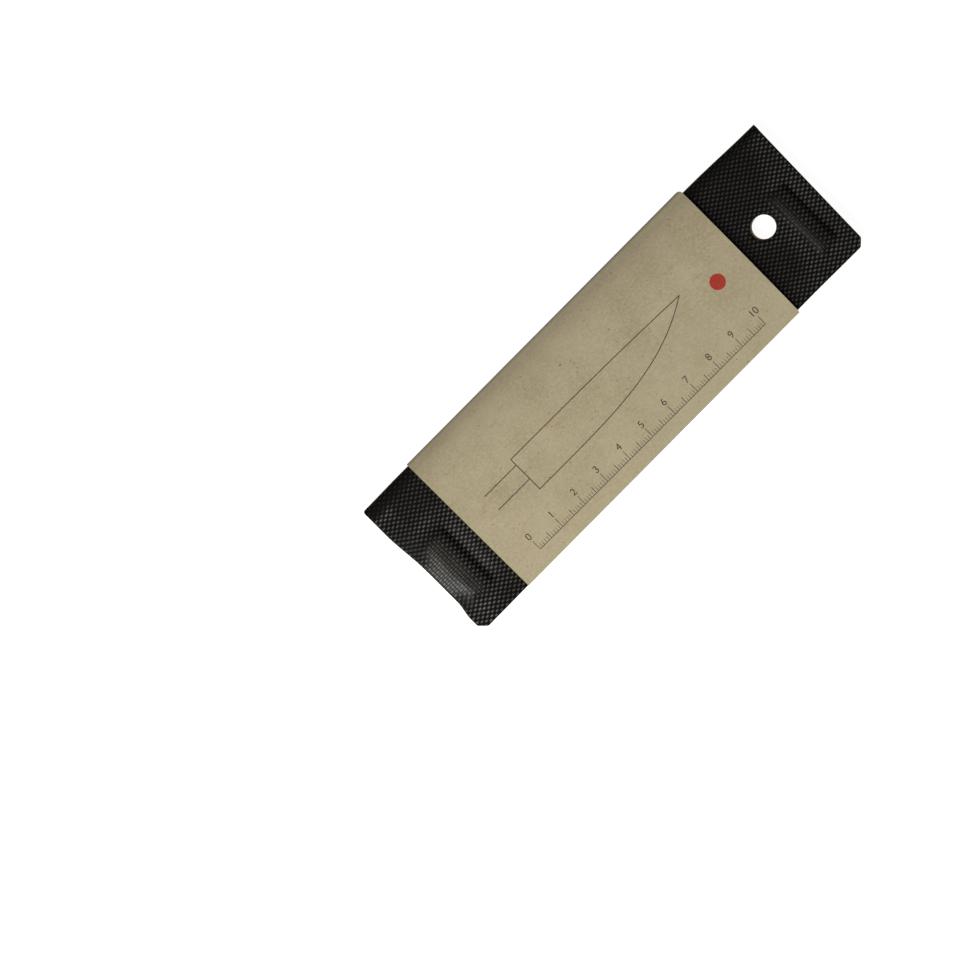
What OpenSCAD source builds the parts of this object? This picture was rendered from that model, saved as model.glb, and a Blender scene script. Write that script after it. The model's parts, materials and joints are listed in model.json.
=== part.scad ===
// Magnetic knife blade guard: two padded leaves joined by a fold along the
// blade's back, with a folded card jacket that slides off over the tip end.
// X runs along the fold towards the tip end, Y towards the fold, Z up through
// the front leaf. The origin is the centre of the underside of the whole part.

/* [Guard] */
// Length of the guard along its fold
guard_len = 173; // [150:0.5:230]
// Width at the handle end, from the fold to the open edge
width_handle_end = 53; // [51:0.5:75]
// Width at the tip end
width_tip_end = 51.2; // [50:0.1:75]
// How much shorter the open edge is than the fold, at the tip end
tip_slant = 1.2; // [0:0.1:3]
// Length that the open corner at the handle end is cut back by, along each edge
handle_corner_cut = 2.5; // [1:0.1:3]
// The same at the tip end
tip_corner_cut = 2.2; // [1:0.1:3]
// Rounding at both ends of a corner cut
corner_r = 1; // [0.5:0.1:1.5]
// How far the handle end is drawn in beside its magnet
end_draw_in = 1.1; // [0.2:0.1:2]
// Length over which the handle end comes back out on the fold side
draw_fold_ramp = 17; // [8:0.5:17]
// The same on the open side
draw_open_ramp = 6.3; // [3:0.1:7]

/* [Layers] */
// Thickness of the woven outer skin
skin_t = 0.7; // [0.5:0.05:1]
// Thickness of the stiffening board
board_t = 0.8; // [0.5:0.05:1.5]
// Thickness of the felt lining
felt_t = 0.7; // [0.5:0.05:1]
// Room between the two felt faces for the blade
blade_gap = 1.4; // [0.8:0.1:3]
// Width of the solid rim of the skin around the board
rim_w = 2.6; // [1.5:0.1:4]
// Clearance between the board and the rim
board_clear = 0.1; // [0.05:0.05:0.3]
// How far the felt stops short of the skin's edge
felt_inset = 0.3; // [0.1:0.1:1]

/* [Fold] */
// Outer corner radius of the rolled fold
fold_r = 2; // [1.8:0.1:2.2]
// Width along the fold that is left without board
fold_margin = 4; // [3:0.5:6]
// Corner radius of the fold at the handle end
fold_corner_r = 0.8; // [0.3:0.1:1.8]

/* [Magnets] */
// Length of a magnet bar, across the guard
magnet_len = 23; // [16:0.5:28]
// Width of a magnet bar, along the guard
magnet_w = 4.5; // [4:0.5:8]
// How far a magnet stands above the board
magnet_rise = 0.9; // [0.4:0.1:1.2]
// Clearance around a magnet in its pocket
magnet_clear = 0.15; // [0.05:0.05:0.3]
// Handle end to the middle of its magnet
magnet_from_handle_end = 10.1; // [9:0.1:13]
// Tip end to the middle of its magnet
magnet_from_tip_end = 10.3; // [9.5:0.1:11.5]
// Outermost line of the fold to the middle of the magnets
magnet_from_fold = 32.5; // [30:0.5:34]
// How far a raised pad reaches past its magnet
pad_wall = 1.6; // [0.9:0.1:2]
// Width over which the ends of a raised pad round off
pad_round = 3; // [1:0.1:4]
// Width over which its side towards the tip end rounds off
pad_side_round = 2.4; // [0.8:0.1:3]
// Drawn-in handle end to the foot of the slope up to its pad
pad_slope_start = 0.8; // [0.5:0.1:2]
// Width of the slope up to the tip pad, on its hang hole side
tip_pad_slope = 2.4; // [1.5:0.1:3]

/* [Hang hole] */
// Diameter of the hang hole
hole_d = 8; // [5:0.1:9]
// Tip end to the middle of the hang hole
hole_from_tip_end = 20.4; // [20:0.1:24]
// Outermost line of the fold to the middle of the hang hole
hole_from_fold = 25.7; // [20:0.1:30]

/* [Card jacket] */
// Length of the card along the guard
card_len = 121.5; // [90:0.5:125]
// Thickness of the card
card_t = 0.35; // [0.3:0.05:0.5]
// Handle end of the guard to the card
card_from_handle_end = 20.4; // [16:0.1:22]
// Clearance between the card and the raised pads over the magnets
card_clear = 0.25; // [0.2:0.05:0.6]
// Clearance between the card and the outermost line of the fold
spine_clear = 0.6; // [0.5:0.05:0.9]
// How far the card's cut edges stand past the guard's open edge
card_overhang = 0.1; // [0:0.1:2]
// Width over which the card turns round the fold
turn_w = 8; // [7:0.5:12]
// Squareness of the card's turn, where 2 is an ellipse
turn_n = 2.7; // [2.6:0.1:3.5]
// Corner radius of the card's turn at the tip end
turn_corner_r = 1.4; // [0.5:0.1:2]

/* [Hidden] */
$fn = 64;
// Overlap of cutting tools past the faces they cut
cut = 1;
// Points on a quarter turn of a corner
corner_steps = 8;
// Points on the drawn-in handle end
draw_steps = 24;
// Points on half of the card's turn
turn_steps = 14;
// Points on the felt's slope
slope_steps = 8;
// Points on a raised pad's slope
pad_steps = 8;

// Heights from the middle plane between the leaves
felt_z = blade_gap / 2;
board_z = felt_z + felt_t;
skin_z = board_z + board_t;
half_z = skin_z + skin_t;
card_in_z = half_z + magnet_rise + card_clear;
card_out_z = card_in_z + card_t;

// Places along X
handle_x = -guard_len / 2;
tip_x = guard_len / 2;
hole_x = tip_x - hole_from_tip_end;
handle_magnet_x = handle_x + magnet_from_handle_end;
tip_magnet_x = tip_x - magnet_from_tip_end;
card_x0 = handle_x + card_from_handle_end;
card_x1 = card_x0 + card_len;
handle_slope = magnet_from_handle_end - magnet_w / 2 - end_draw_in - pad_slope_start;

// Places along Y, with the whole part's box centred on Y = 0
jacket_proud = spine_clear + card_t;
guard_w = max(width_handle_end, width_tip_end);
card_reach = guard_w + card_overhang;
fold_y = (card_reach - jacket_proud) / 2;
roll_y = fold_y - fold_r;
slope_y = roll_y - fold_margin;
magnet_y = fold_y - magnet_from_fold;
hole_y = fold_y - hole_from_fold;
open_y_handle = fold_y - width_handle_end;
open_y_tip = fold_y - width_tip_end;
open_y_low = fold_y - guard_w;
card_open_y = fold_y - card_reach;
turn_y = fold_y + jacket_proud - turn_w;

// Smooth step from 0 to 1
function smooth(t) = let (s = min(max(t, 0), 1)) s * s * (3 - 2 * s);

// Depth of the handle end's draw-in at a place across the guard
draw_top = magnet_y + magnet_len / 2 - 5.7;
draw_bottom = magnet_y - magnet_len / 2 + 2.7;
function draw_in(y) = end_draw_in
    * smooth(1 + (draw_top - y) / draw_fold_ramp)
    * smooth(1 + (y - draw_bottom) / draw_open_ramp);

// Open edge at a place along the guard
function open_edge(x) = open_y_handle + (open_y_tip - open_y_handle) * (x - handle_x) / guard_len;
// Tip end at a place across the guard
function tip_edge(y) = tip_x - tip_slant * (fold_y - y) / width_tip_end;

// Points on an arc about a centre
function arc(cx, cy, r, from, to) = [
    for (i = [0 : corner_steps])
        let (a = from + (to - from) * i / corner_steps)
        [cx + r * cos(a), cy + r * sin(a)]
];

// How far a corner cut's rounding reaches past the cut's two ends
function reach(r) = r * tan(22.5);

// Length of a corner cut on an outline that is moved in by inset
function inner_cut(leg, inset) = leg - (2 - sqrt(2)) * inset;

// Outline of a leaf seen from above, with every free edge moved in by inset
module leaf_outline(inset = 0) {
    r = max(corner_r - inset, 0.2);
    leg = inner_cut(handle_corner_cut, inset);
    tip_leg = inner_cut(tip_corner_cut, inset);
    y0 = open_edge(handle_x) + inset;
    x0 = handle_x + inset + draw_in(y0 + leg);
    x1 = tip_edge(open_y_tip) - inset;
    y1 = open_edge(x1) + inset;
    corner_y = y0 + leg + reach(r);
    handle_end = [
        for (i = [0 : draw_steps - 1])
            let (y = roll_y + (corner_y - roll_y) * i / draw_steps)
            [handle_x + inset + draw_in(y), y]
    ];
    polygon(concat(
        [[tip_edge(roll_y) - inset, roll_y]],
        handle_end,
        arc(x0 + r, corner_y, r, 180, 225),
        arc(x0 + leg + reach(r), y0 + r, r, 225, 270),
        arc(x1 - tip_leg - reach(r), y1 + r, r, -90, -45),
        arc(x1 - r, y1 + tip_leg + reach(r), r, -45, 0)
    ));
}

// Straight-sided outline of the board and of its pocket
module board_outline(inset) {
    x0 = handle_x + end_draw_in + inset;
    x1 = tip_edge(open_y_tip) - inset;
    polygon([
        [x0, slope_y],
        [x0, open_edge(x0) + inset],
        [x1, open_edge(x1) + inset],
        [x1, slope_y]
    ]);
}

// Puts what is drawn above the middle plane at its height, on either leaf
module on_leaf(front) {
    translate([0, 0, card_out_z])
        mirror([0, 0, front ? 0 : 1])
            children();
}

// The hang hole, through all layers of a leaf
module hang_hole() {
    translate([hole_x, hole_y, -cut])
        cylinder(h = card_out_z + 2 * cut, d = hole_d);
}

// Quarter of an ellipse at a pad's edge, from its foot at x = 0 inwards to its top
function pad_edge(w) = [for (i = [0 : 6]) [w * (1 - cos(i * 15)), magnet_rise * sin(i * 15)]];

// Profile of a raised pad along its length, lying on the line y = 0
module pad_length_profile(l) {
    edge = pad_edge(pad_round);
    polygon(concat(
        [[-l / 2, -cut], [l / 2, -cut]],
        [for (p = edge) [l / 2 - p[0], p[1]]],
        [for (i = [len(edge) - 1 : -1 : 0]) [edge[i][0] - l / 2, edge[i][1]]]
    ));
}

// Profile across a raised pad: rounded off on the right, with a slope on the left
module pad_width_profile(slope) {
    left = -magnet_w / 2 - slope;
    right = magnet_w / 2 + pad_wall;
    polygon(concat(
        [[left, -cut], [right, -cut]],
        [for (p = pad_edge(pad_side_round)) [right - p[0], p[1]]],
        [
            for (i = [pad_steps : -1 : 0])
                [left + slope * i / pad_steps, magnet_rise * smooth(i / pad_steps)]
        ]
    ));
}

// Raised pad of the skin over a magnet, which slopes down towards the handle end
module raised_pad(x, slope) {
    l = magnet_len + 2 * pad_wall;
    intersection() {
        translate([x, magnet_y + l / 2, half_z])
            rotate([90, 0, 0])
                linear_extrude(l)
                    pad_width_profile(slope);
        translate([x - magnet_w / 2 - slope, magnet_y, half_z])
            rotate([90, 0, 90])
                linear_extrude(magnet_w + slope + pad_wall)
                    pad_length_profile(l);
    }
}

// Pocket for one magnet, in the board and up into the raised pad
module magnet_pocket(x, clear) {
    translate([x, magnet_y, board_z])
        linear_extrude(2 * (board_t + magnet_rise + clear), center = true)
            square([magnet_w + 2 * clear, magnet_len + 2 * clear], center = true);
}

// Woven outer skin of one leaf, a shallow tray that holds the board
module outer_skin() {
    difference() {
        union() {
            translate([0, 0, board_z])
                linear_extrude(half_z - board_z)
                    leaf_outline();
            raised_pad(handle_magnet_x, handle_slope);
            raised_pad(tip_magnet_x, tip_pad_slope);
        }
        translate([0, 0, board_z - cut])
            linear_extrude(board_t + cut)
                board_outline(rim_w);
        translate([handle_x - cut, slope_y, board_z - cut])
            cube([guard_len + 2 * cut, fold_r + fold_margin + cut, board_t + cut]);
        magnet_pocket(handle_magnet_x, magnet_clear);
        magnet_pocket(tip_magnet_x, magnet_clear);
        hang_hole();
    }
}

// Stiffening board with a window for each magnet
module core_board() {
    difference() {
        translate([0, 0, board_z])
            linear_extrude(board_t)
                intersection() {
                    board_outline(rim_w + board_clear);
                    translate([handle_x, open_y_low])
                        square([guard_len, slope_y - board_clear - open_y_low]);
                }
        magnet_pocket(handle_magnet_x, magnet_clear);
        magnet_pocket(tip_magnet_x, magnet_clear);
        hang_hole();
    }
}

// One magnet bar, lying on the felt
module magnet(x) {
    translate([x - magnet_w / 2, magnet_y - magnet_len / 2, board_z])
        cube([magnet_w, magnet_len, board_t + magnet_rise]);
}

// Rise of the felt where it leaves the board for the fold
function felt_rise(y) = board_t * smooth((y - slope_y) / (fold_margin - 1));

// Felt of one leaf, which slopes out to the skin where the board ends
module felt_lining() {
    y0 = open_y_low - cut;
    ys = [for (i = [0 : slope_steps]) slope_y + (fold_margin - 1) * i / slope_steps];
    difference() {
        intersection() {
            linear_extrude(half_z)
                leaf_outline(felt_inset);
            translate([handle_x - cut, 0, 0])
                rotate([90, 0, 90])
                    linear_extrude(guard_len + 2 * cut)
                        polygon(concat(
                            [[y0, felt_z]],
                            [for (y = ys) [y, felt_z + felt_rise(y)]],
                            [[roll_y, felt_z + board_t], [roll_y, skin_z]],
                            [for (i = [slope_steps : -1 : 0]) [ys[i], board_z + felt_rise(ys[i])]],
                            [[y0, board_z]]
                        ));
        }
        hang_hole();
    }
}

// Profile of the rolled fold, filled, with its faces moved in by depth
module fold_profile(depth) {
    r = fold_r - depth;
    h = half_z - depth;
    translate([roll_y - cut, -h])
        square([cut, 2 * h]);
    translate([roll_y, r - h])
        square([r, 2 * (h - r)]);
    for (side = [-1, 1])
        intersection() {
            translate([roll_y, side * (h - r)])
                circle(r);
            translate([roll_y, side > 0 ? h - r : -h])
                square([r, r]);
        }
}

// One layer of the rolled fold, between two depths under the outer face
module fold_layer(outer, inner, inset) {
    r = max(fold_corner_r - outer, 0.2);
    x0 = handle_x + inset;
    x1 = tip_x - inset;
    intersection() {
        translate([x0, 0, card_out_z])
            rotate([90, 0, 90])
                linear_extrude(x1 - x0)
                    difference() {
                        fold_profile(outer);
                        fold_profile(inner);
                        translate([roll_y - 3 * cut, -half_z - cut])
                            square([3 * cut, 2 * (half_z + cut)]);
                    }
        linear_extrude(2 * card_out_z)
            polygon(concat(
                [[x0, roll_y - cut], [x1, roll_y - cut], [x1, fold_y - outer]],
                arc(x0 + r, fold_y - outer - r, r, 90, 180)
            ));
    }
}

// Point on the card's turn, at an angle from the straight-out direction
function turn_point(a, w, h) = [
    turn_y + w * pow(cos(a), 2 / turn_n),
    h * sign(sin(a)) * pow(abs(sin(a)), 2 / turn_n)
];
function turn_line(w, h) = [
    for (i = [-turn_steps : turn_steps])
        turn_point(90 * i / turn_steps, w, h)
];

// Card turned once round the fold
module card_turn() {
    outer = turn_line(turn_w, card_out_z);
    inner = turn_line(turn_w - card_t, card_in_z);
    last = len(inner) - 1;
    intersection() {
        translate([card_x0, 0, card_out_z])
            rotate([90, 0, 90])
                linear_extrude(card_len)
                    polygon(concat(outer, [for (i = [last : -1 : 0]) inner[i]]));
        linear_extrude(2 * card_out_z)
            polygon(concat(
                [[card_x0, turn_y - cut], [card_x1, turn_y - cut]],
                arc(card_x1 - turn_corner_r, turn_y + turn_w - turn_corner_r, turn_corner_r, 0, 90),
                [[card_x0, turn_y + turn_w]]
            ));
    }
}

// One flat panel of the card jacket
module card_panel() {
    translate([card_x0, card_open_y, card_in_z])
        cube([card_len, turn_y - card_open_y, card_t]);
}

module front_outer_skin() { color("#262724") on_leaf(true) outer_skin(); }
module back_outer_skin() { color("#262724") on_leaf(false) outer_skin(); }
module fold_outer_skin() { color("#1f201e") fold_layer(0, skin_t, 0); }
module front_core_board() { color("#8a6a45") on_leaf(true) core_board(); }
module back_core_board() { color("#8a6a45") on_leaf(false) core_board(); }
module front_felt_lining() { color("#3a3a3c") on_leaf(true) felt_lining(); }
module back_felt_lining() { color("#3a3a3c") on_leaf(false) felt_lining(); }
module fold_lining() { color("#3a3a3c") fold_layer(skin_t, skin_t + felt_t, felt_inset); }
module front_handle_magnet() { color("silver") on_leaf(true) magnet(handle_magnet_x); }
module front_tip_magnet() { color("silver") on_leaf(true) magnet(tip_magnet_x); }
module back_handle_magnet() { color("silver") on_leaf(false) magnet(handle_magnet_x); }
module back_tip_magnet() { color("silver") on_leaf(false) magnet(tip_magnet_x); }
module jacket_front_panel() { color("#b0a283") on_leaf(true) card_panel(); }
module jacket_spine() { color("#a5987a") card_turn(); }
module jacket_back_panel() { color("#b0a283") on_leaf(false) card_panel(); }

front_outer_skin();
back_outer_skin();
fold_outer_skin();
front_core_board();
back_core_board();
front_felt_lining();
back_felt_lining();
fold_lining();
front_handle_magnet();
front_tip_magnet();
back_handle_magnet();
back_tip_magnet();
jacket_front_panel();
jacket_spine();
jacket_back_panel();
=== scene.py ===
import json
import math

import bpy
from mathutils import Matrix, Vector

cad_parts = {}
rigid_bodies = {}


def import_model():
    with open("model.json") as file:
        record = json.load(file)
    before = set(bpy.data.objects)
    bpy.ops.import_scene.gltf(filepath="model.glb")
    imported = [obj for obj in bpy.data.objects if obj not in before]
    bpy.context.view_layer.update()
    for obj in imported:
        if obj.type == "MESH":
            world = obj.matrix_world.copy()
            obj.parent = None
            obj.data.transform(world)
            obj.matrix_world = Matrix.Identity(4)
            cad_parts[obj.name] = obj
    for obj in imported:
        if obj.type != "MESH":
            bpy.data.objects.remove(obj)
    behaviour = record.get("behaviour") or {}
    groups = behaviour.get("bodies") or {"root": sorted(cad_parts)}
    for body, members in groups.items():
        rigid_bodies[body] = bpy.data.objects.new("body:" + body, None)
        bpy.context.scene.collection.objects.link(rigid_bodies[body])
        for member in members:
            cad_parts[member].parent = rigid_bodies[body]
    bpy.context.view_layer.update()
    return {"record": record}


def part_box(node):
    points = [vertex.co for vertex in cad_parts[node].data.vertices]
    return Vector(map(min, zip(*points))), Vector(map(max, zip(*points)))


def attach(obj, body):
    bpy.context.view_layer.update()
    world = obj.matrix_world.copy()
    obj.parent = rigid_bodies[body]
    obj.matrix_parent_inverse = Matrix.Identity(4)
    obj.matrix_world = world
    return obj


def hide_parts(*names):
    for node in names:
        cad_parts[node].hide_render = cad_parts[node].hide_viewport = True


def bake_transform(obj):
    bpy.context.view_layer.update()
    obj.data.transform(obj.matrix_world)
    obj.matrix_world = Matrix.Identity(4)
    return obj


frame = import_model()

MM = 0.001

# Sizes in millimetres that the frame doesn't give by itself

# Layers of a leaf
SKIN_T = 0.7
BOARD_T = 0.8
LAYER_GAP = 0.02
FELT_INSET = 0.3
EDGE_R = 0.55

# Outline
HANDLE_CORNER_CUT = 2.5
TIP_CORNER_CUT = 2.2
CORNER_R = 1.0
TIP_SLANT = 1.2
OPEN_SLANT = 1.8
OPEN_SAG = 0.22
TIP_SAG = 0.33
END_DRAW_IN = 0.85
DRAW_FOLD_IN = 5.7
DRAW_OPEN_IN = 2.7
DRAW_FOLD_RAMP = 17.0
DRAW_OPEN_RAMP = 6.3

# Fold, with the heights between which it bends
FOLD_R = 2.0
FOLD_CORNER_R = 1.0
FOLD_END_PAST = 0.2
FOLD_BULGE = 0.36

# Where the soft edges start to give way along the guard, and over what length
HANDLE_GIVE_X, HANDLE_GIVE_RAMP = -70.0, 14.0
TIP_GIVE_X, TIP_GIVE_RAMP = 58.0, 28.0

# Pads over the magnets
MAGNET_RISE = 0.9
PAD_WALL = 1.6
PAD_ROUND = 3.0
PAD_SIDE_ROUND = 1.75
PAD_TAIL_REACH = 3.5
HANDLE_PAD_TAIL = 14.0
TIP_PAD_TAIL = 5.0
HANDLE_RIDGE = 2.4
TIP_SLOPE_FOOT = 4.6
TIP_SLOPE = 3.4
HANDLE_VALLEY = 0.35
TIP_VALLEY = 0.22
VALLEY_RUN = 5.0
HANDLE_STRETCH_GLINT = 0.68
TIP_STRETCH_GLINT = 0.55

# Hang hole: the skin closes over the board's edge, and the front one slipped before it was cut
HOLE_TIGHT = 0.15
HOLE_SLIP_X = 1.1
HOLE_SLIP_Y = 0.2
HOLE_DIP = 0.3

# Weave
# Share of the floats' brightness kept on the rolled fold: painted shade where the roll turns away from the
# light
ROLL_PAINTED_SHADE_LEVEL = 0.22
WEAVE_X = 1.18
WEAVE_Y = 0.833

# Card and print
CARD_T = 0.35
TURN_N = 2.7
TURN_CORNER_R = 1.4
CARD_TILT = 0.0041
CARD_FOLD_PAST = 0.25
CARD_OPEN_SHORT = 0.45
INK_T = 0.02
LINE_W = 0.3

# Photograph's frame: its side in pixels, a pixel in millimetres and the middle's place on the part
PICTURE_PX = 980
PIXEL_MM = 0.3145
PICTURE_MIDDLE = (-53.45, 2.8, 7.3)


def box_mm(node):
    """Lowest and highest corners of a CAD node, in millimetres."""
    low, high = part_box(node)
    return [c / MM for c in low], [c / MM for c in high]


# Places taken from the frame
skin_low, _ = box_mm("front_outer_skin")
fold_low, fold_high = box_mm("fold_outer_skin")
panel_low, panel_high = box_mm("jacket_front_panel")
_, turn_high = box_mm("jacket_spine")
handle_magnet_low, handle_magnet_high = box_mm("front_handle_magnet")
tip_magnet_low, tip_magnet_high = box_mm("front_tip_magnet")

HANDLE_X = fold_low[0]
TIP_X = fold_high[0]
FOLD_Y = fold_high[1]
ROLL_Y = FOLD_Y - FOLD_R
MID_Z = turn_high[2] / 2
HALF_Z = fold_high[2] - MID_Z
OPEN_Y_HANDLE = skin_low[1]
OPEN_Y_TIP = OPEN_Y_HANDLE + OPEN_SLANT
MAGNET_Y = (handle_magnet_low[1] + handle_magnet_high[1]) / 2
MAGNET_HALF_W = (handle_magnet_high[0] - handle_magnet_low[0]) / 2
MAGNET_HALF_L = (handle_magnet_high[1] - handle_magnet_low[1]) / 2
HANDLE_MAGNET_X = (handle_magnet_low[0] + handle_magnet_high[0]) / 2
TIP_MAGNET_X = (tip_magnet_low[0] + tip_magnet_high[0]) / 2
hole = frame["record"]["mounts"][0]
HOLE_X, HOLE_Y = hole["pos_m"][0] / MM, hole["pos_m"][1] / MM
HOLE_R = hole["dims"]["r_mm"]
CARD_X0, CARD_X1 = panel_low[0], panel_high[0]
CARD_OPEN_Y = panel_low[1]
TURN_Y = panel_high[1]
TURN_W = turn_high[1] - TURN_Y


def smooth(t):
    """Smooth step from 0 to 1."""
    t = min(max(t, 0.0), 1.0)
    return t * t * (3 - 2 * t)


# Mesh helpers

def deselect_all():
    bpy.ops.object.select_all(action="DESELECT")


def select_only(obj):
    """Makes one object the only one selected, and the active one."""
    deselect_all()
    obj.select_set(True)
    bpy.context.view_layer.objects.active = obj


def new_grid(name, across, along):
    """A flat grid to be shaped, with its own parameters from 0 to 1 kept in x and y."""
    deselect_all()
    bpy.ops.mesh.primitive_grid_add(
        x_subdivisions=across, y_subdivisions=along, size=1, location=(0, 0, 0)
    )
    piece = bpy.context.active_object
    piece.name = name
    piece.data.name = name
    for v in piece.data.vertices:
        v.co.x += 0.5
        v.co.y += 0.5
    return piece


def shape(piece, place):
    """Moves each vertex of a new grid to place(u, v), which is given in millimetres."""
    for v in piece.data.vertices:
        x, y, z = place(v.co.x, v.co.y)
        v.co = (x * MM, y * MM, z * MM)
    piece.data.update()


def add_uv(piece, name, spot):
    """Writes a pair of values for each vertex: the weave's coordinates, its rubbing with painted light, or
    its pull.
    """
    mesh = piece.data
    layer = mesh.uv_layers.get(name) or mesh.uv_layers.new(name=name)
    spots = [spot(v.co) for v in mesh.vertices]
    for loop in mesh.loops:
        layer.data[loop.index].uv = spots[loop.vertex_index]


def edit(piece, *steps):
    """Runs edit-mode steps on one piece, with all of it selected first."""
    select_only(piece)
    bpy.ops.object.mode_set(mode="EDIT")
    bpy.ops.mesh.select_all(action="SELECT")
    for step in steps:
        step()
    bpy.ops.object.mode_set(mode="OBJECT")


def face_towards(piece, axis, positive):
    """Turns a sheet's faces so that most of its area looks along an axis, 0 to 2, or against it."""
    total = sum(p.normal[axis] * p.area for p in piece.data.polygons)
    if (total > 0) != positive:
        edit(piece, bpy.ops.mesh.flip_normals)


def apply_modifier(piece, name):
    """Applies one modifier, so that none is left on the piece."""
    select_only(piece)
    bpy.ops.object.modifier_apply(modifier=name)


def thicken(piece, thickness):
    """Gives a sheet its wall, inwards from its outer face."""
    wall = piece.modifiers.new("wall", "SOLIDIFY")
    wall.thickness = thickness * MM
    wall.offset = -1.0
    apply_modifier(piece, "wall")


def drill(piece, x, y, radius):
    """Cuts a round hole along Z right through a piece."""
    deselect_all()
    bpy.ops.mesh.primitive_cylinder_add(
        vertices=96, radius=radius * MM, depth=0.05, location=(x * MM, y * MM, MID_Z * MM)
    )
    tool = bpy.context.active_object
    cut = piece.modifiers.new("cut", "BOOLEAN")
    cut.operation = "DIFFERENCE"
    cut.solver = "EXACT"
    cut.object = tool
    apply_modifier(piece, "cut")
    bpy.data.objects.remove(tool, do_unlink=True)


def finish_piece(piece, material):
    """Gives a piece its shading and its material."""
    select_only(piece)
    bpy.ops.object.shade_smooth_by_angle(angle=math.radians(35))
    piece.data.materials.clear()
    piece.data.materials.append(material)


# Form of a leaf

def handle_edge(y):
    """Handle end at a place across the guard, drawn in beside its magnet."""
    top = MAGNET_Y + MAGNET_HALF_L - DRAW_FOLD_IN
    bottom = MAGNET_Y - MAGNET_HALF_L + DRAW_OPEN_IN
    fold_side = smooth(1 + (top - y) / DRAW_FOLD_RAMP)
    open_side = smooth(1 + (y - bottom) / DRAW_OPEN_RAMP)
    return HANDLE_X + END_DRAW_IN * fold_side * open_side - FOLD_END_PAST * smooth((y + 5) / 20)


def tip_edge(y):
    """Tip end at a place across the guard, a little aslant."""
    return TIP_X - TIP_SLANT * (FOLD_Y - y) / (FOLD_Y - OPEN_Y_TIP)


def corner_rise(d, leg):
    """How far the outline stands off the open edge at a distance d from the end, at a cut corner."""
    r = CORNER_R
    reach = r * math.tan(math.radians(22.5))
    d = max(d, 0)
    if d < r * (1 - math.sqrt(0.5)):
        return leg + reach - math.sqrt(r ** 2 - (r - d) ** 2)
    if d < leg + reach - r * math.sqrt(0.5):
        return leg - d
    if d < leg + reach:
        return r - math.sqrt(r ** 2 - (leg + reach - d) ** 2)
    return 0.0


def open_edge(x):
    """Open edge at a place along the guard, with its two cut corners and a slight sag of the soft edge."""
    slant = OPEN_SLANT * (x - HANDLE_X) / (TIP_X - HANDLE_X)
    sag = OPEN_SAG + TIP_SAG * smooth((x - TIP_GIVE_X) / TIP_GIVE_RAMP)
    handle_corner = corner_rise(x - HANDLE_X, HANDLE_CORNER_CUT)
    tip_corner = corner_rise(tip_edge(OPEN_Y_TIP) - x, TIP_CORNER_CUT)
    return OPEN_Y_HANDLE + slant - sag + max(handle_corner, tip_corner)


def fold_shift(x):
    """How far the soft fold gives way towards the open side: it bulges, but less and less to the tip."""
    along = min(max((x + 67) / 125, 0), 1)
    tip = smooth((x - TIP_GIVE_X) / TIP_GIVE_RAMP)
    handle = smooth((HANDLE_GIVE_X - x) / HANDLE_GIVE_RAMP)
    return 0.33 * along - FOLD_BULGE + 0.62 * tip + 0.22 * handle


def end_round(distance, half, width):
    """1 on a pad's top, falling to 0 at its foot like a quarter of an ellipse."""
    t = (abs(distance) - (half - width)) / width
    if t >= 1:
        return 0.0
    return math.sqrt(1 - max(t, 0) ** 2)


def pad_height(x, y, middle, rise, tail):
    """Height of the skin over one magnet: rounded off on the tip side, rising to the top on the other.

    The rise runs from 0 to 1, and the pad's ends fade over a longer tail at its foot.
    """
    across = rise * end_round(max(x - middle, 0), MAGNET_HALF_W + PAD_WALL, PAD_SIDE_ROUND)
    dy = abs(y - MAGNET_Y)
    sharp = smooth((MAGNET_HALF_L + PAD_WALL - dy) / PAD_ROUND)
    soft = smooth((MAGNET_HALF_L + PAD_TAIL_REACH - dy) / tail)
    return MAGNET_RISE * across * (sharp * rise ** 3 + soft * (1 - rise ** 3))


def handle_pad(x, y):
    """Pad at the handle end, whose slope starts steeply at the drawn-in end."""
    foot = handle_edge(y) + 0.3
    t = min(max((x - foot) / (HANDLE_MAGNET_X - HANDLE_RIDGE - foot), 0), 1)
    return pad_height(x, y, HANDLE_MAGNET_X, math.sin(t * math.pi / 2), HANDLE_PAD_TAIL)


def tip_pad(x, y):
    """Pad at the tip end, with a short slope on the hang hole's side."""
    rise = smooth((x - TIP_MAGNET_X + TIP_SLOPE_FOOT) / TIP_SLOPE)
    return pad_height(x, y, TIP_MAGNET_X, rise, TIP_PAD_TAIL)


def valley(x, y, middle):
    """Share, 0 to 1, of the shallow valley along a pad's tip side, from which the skin rises again."""
    d = x - middle - MAGNET_HALF_W - PAD_WALL
    across = smooth(1 - d / VALLEY_RUN) if d > 0 else smooth(1 + d / PAD_SIDE_ROUND)
    return across * smooth((MAGNET_HALF_L + 2 - abs(y - MAGNET_Y)) / VALLEY_RUN)


def wrinkle(x, y):
    """Small pulled wrinkle of the skin, aslant in the corner of the fold and the handle end."""
    dx, dy = x - HANDLE_X - 3.8, y - FOLD_Y + 4.4
    along = (dx * 0.88 + dy * 0.47) / 3.2
    off = (dy * 0.88 - dx * 0.47) / 0.55
    return 0.2 * math.exp(-along * along - off * off)


def swell(d, middle, width):
    """1 at the middle of a soft band, falling to 0 on both sides."""
    return math.exp(-((d - middle) / width) ** 2)


def unevenness(x, y):
    """Slow swells of the padded leaf."""
    return (0.11 * math.sin(x * 0.31 + 0.7) * math.sin(y * 0.27 + 1.1)
            + 0.09 * math.sin(x * 0.13 - y * 0.21 + 2.0))


def edge_drop(distance, radius):
    """How far a rounded edge falls away, at a distance from the edge."""
    if distance >= radius:
        return 0.0
    d = radius - max(distance, 0)
    return radius - math.sqrt(max(radius ** 2 - d * d, 0))


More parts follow.
